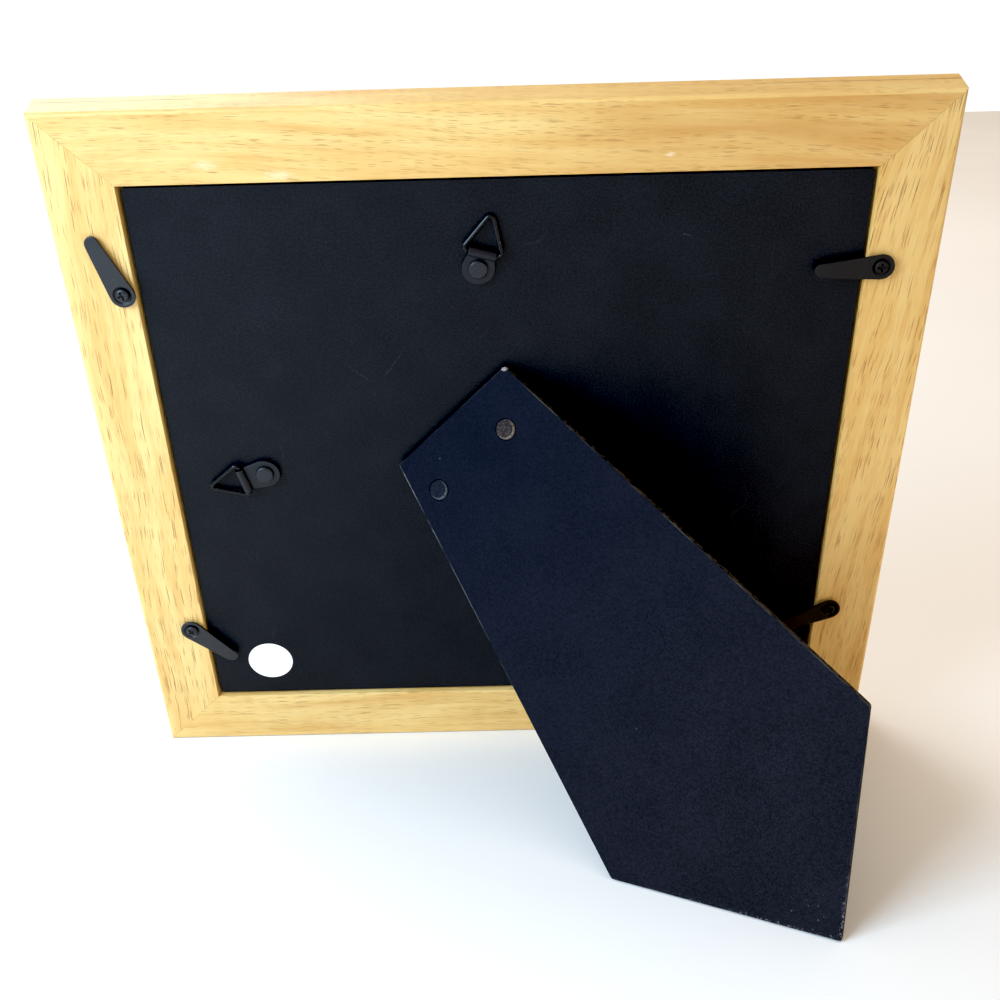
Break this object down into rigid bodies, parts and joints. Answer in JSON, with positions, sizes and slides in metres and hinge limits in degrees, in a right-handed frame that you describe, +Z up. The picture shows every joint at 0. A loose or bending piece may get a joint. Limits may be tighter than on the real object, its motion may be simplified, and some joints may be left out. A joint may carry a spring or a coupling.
{
  "type": "multi-photo frame",
  "caption": "Mitred wooden picture frame for several photos, with a black backing board held by turn buttons, triangle-ring hangers and a folding diagonal easel leg.",
  "frame": {"origin": "on the table, under the middle of the bounding box of the standing frame with its leg open", "axes": "+X to the right seen from the front, +Y to the back (the side of the leg), +Z up"},
  "size_m": [0.3076, 0.1586, 0.2764],
  "materials": {
    "wood": "clear satin lacquer on pale hardwood",
    "clear_glass": "clear, polished",
    "mat_card": "matt card, bevelled windows",
    "photo_paper": "semi-gloss print",
    "board_paper": "black paper on hardboard, matt",
    "leg_paper": "blue-black paper on hardboard, worn edges",
    "black_metal": "black, satin",
    "gunmetal": "dark, worn",
    "zinc_steel": "plain zinc"
  },
  "bodies": {
    "frame": {"rail_top": "wood", "rail_bottom": "wood", "rail_left": "wood", "rail_right": "wood", "glass_pane": "clear_glass", "window_mat": "mat_card", "photo_print_1": "photo_paper", "photo_print_2": "photo_paper", "photo_print_3": "photo_paper", "photo_print_4": "photo_paper", "photo_print_5": "photo_paper", "photo_print_6": "photo_paper", "backing_board": "board_paper", "hinge_base_leaf": "zinc_steel", "hinge_pin": "zinc_steel", "base_rivet_1": "zinc_steel", "base_rivet_2": "zinc_steel", "hanger_strap_top": "black_metal", "hanger_strap_side": "black_metal", "hanger_rivet_top": "gunmetal", "hanger_rivet_side": "gunmetal", "button_screw_top_left": "black_metal", "button_screw_top_right": "black_metal", "button_screw_bottom_left": "black_metal", "button_screw_bottom_right": "black_metal"},
    "leg": {"easel_leg": "leg_paper", "hinge_leg_leaf": "zinc_steel", "leg_rivet_1": "gunmetal", "leg_rivet_2": "gunmetal"},
    "ring_top": {"hanger_ring_top": "black_metal"},
    "ring_side": {"hanger_ring_side": "black_metal"},
    "button_top_left": {"turn_button_top_left": "black_metal"},
    "button_top_right": {"turn_button_top_right": "black_metal"},
    "button_bottom_left": {"turn_button_bottom_left": "black_metal"},
    "button_bottom_right": {"turn_button_bottom_right": "black_metal"}
  },
  "joints": [
    {"name": "leg_swing", "type": "hinge", "parent": "frame", "child": "leg", "pos_m": [0.0147, -0.02595, 0.15415], "axis": [-0.7071, 0.1606, 0.6886], "range_deg": [0, 36]},
    {"name": "ring_top_swing", "type": "hinge", "parent": "frame", "child": "ring_top", "pos_m": [0.00575, -0.01004, 0.2217], "axis": [-0.9659, -0.0588, -0.2521], "range_deg": [0, 150]},
    {"name": "ring_side_swing", "type": "hinge", "parent": "frame", "child": "ring_side", "pos_m": [0.10091, -0.03055, 0.13374], "axis": [0.2588, 0.2193, 0.9407], "range_deg": [0, 150]},
    {"name": "button_top_left_turn", "type": "hinge", "parent": "frame", "child": "button_top_left", "pos_m": [-0.1329, -0.01251, 0.21376], "axis": [0, 0.9739, -0.2271], "continuous": true},
    {"name": "button_top_right_turn", "type": "hinge", "parent": "frame", "child": "button_top_right", "pos_m": [0.1324, -0.01326, 0.21054], "axis": [0, 0.9739, -0.2271], "continuous": true},
    {"name": "button_bottom_left_turn", "type": "hinge", "parent": "frame", "child": "button_bottom_left", "pos_m": [-0.1333, -0.0471, 0.06543], "axis": [0, 0.9739, -0.2271], "continuous": true},
    {"name": "button_bottom_right_turn", "type": "hinge", "parent": "frame", "child": "button_bottom_right", "pos_m": [0.133, -0.04789, 0.06203], "axis": [0, 0.9739, -0.2271], "continuous": true}
  ]
}
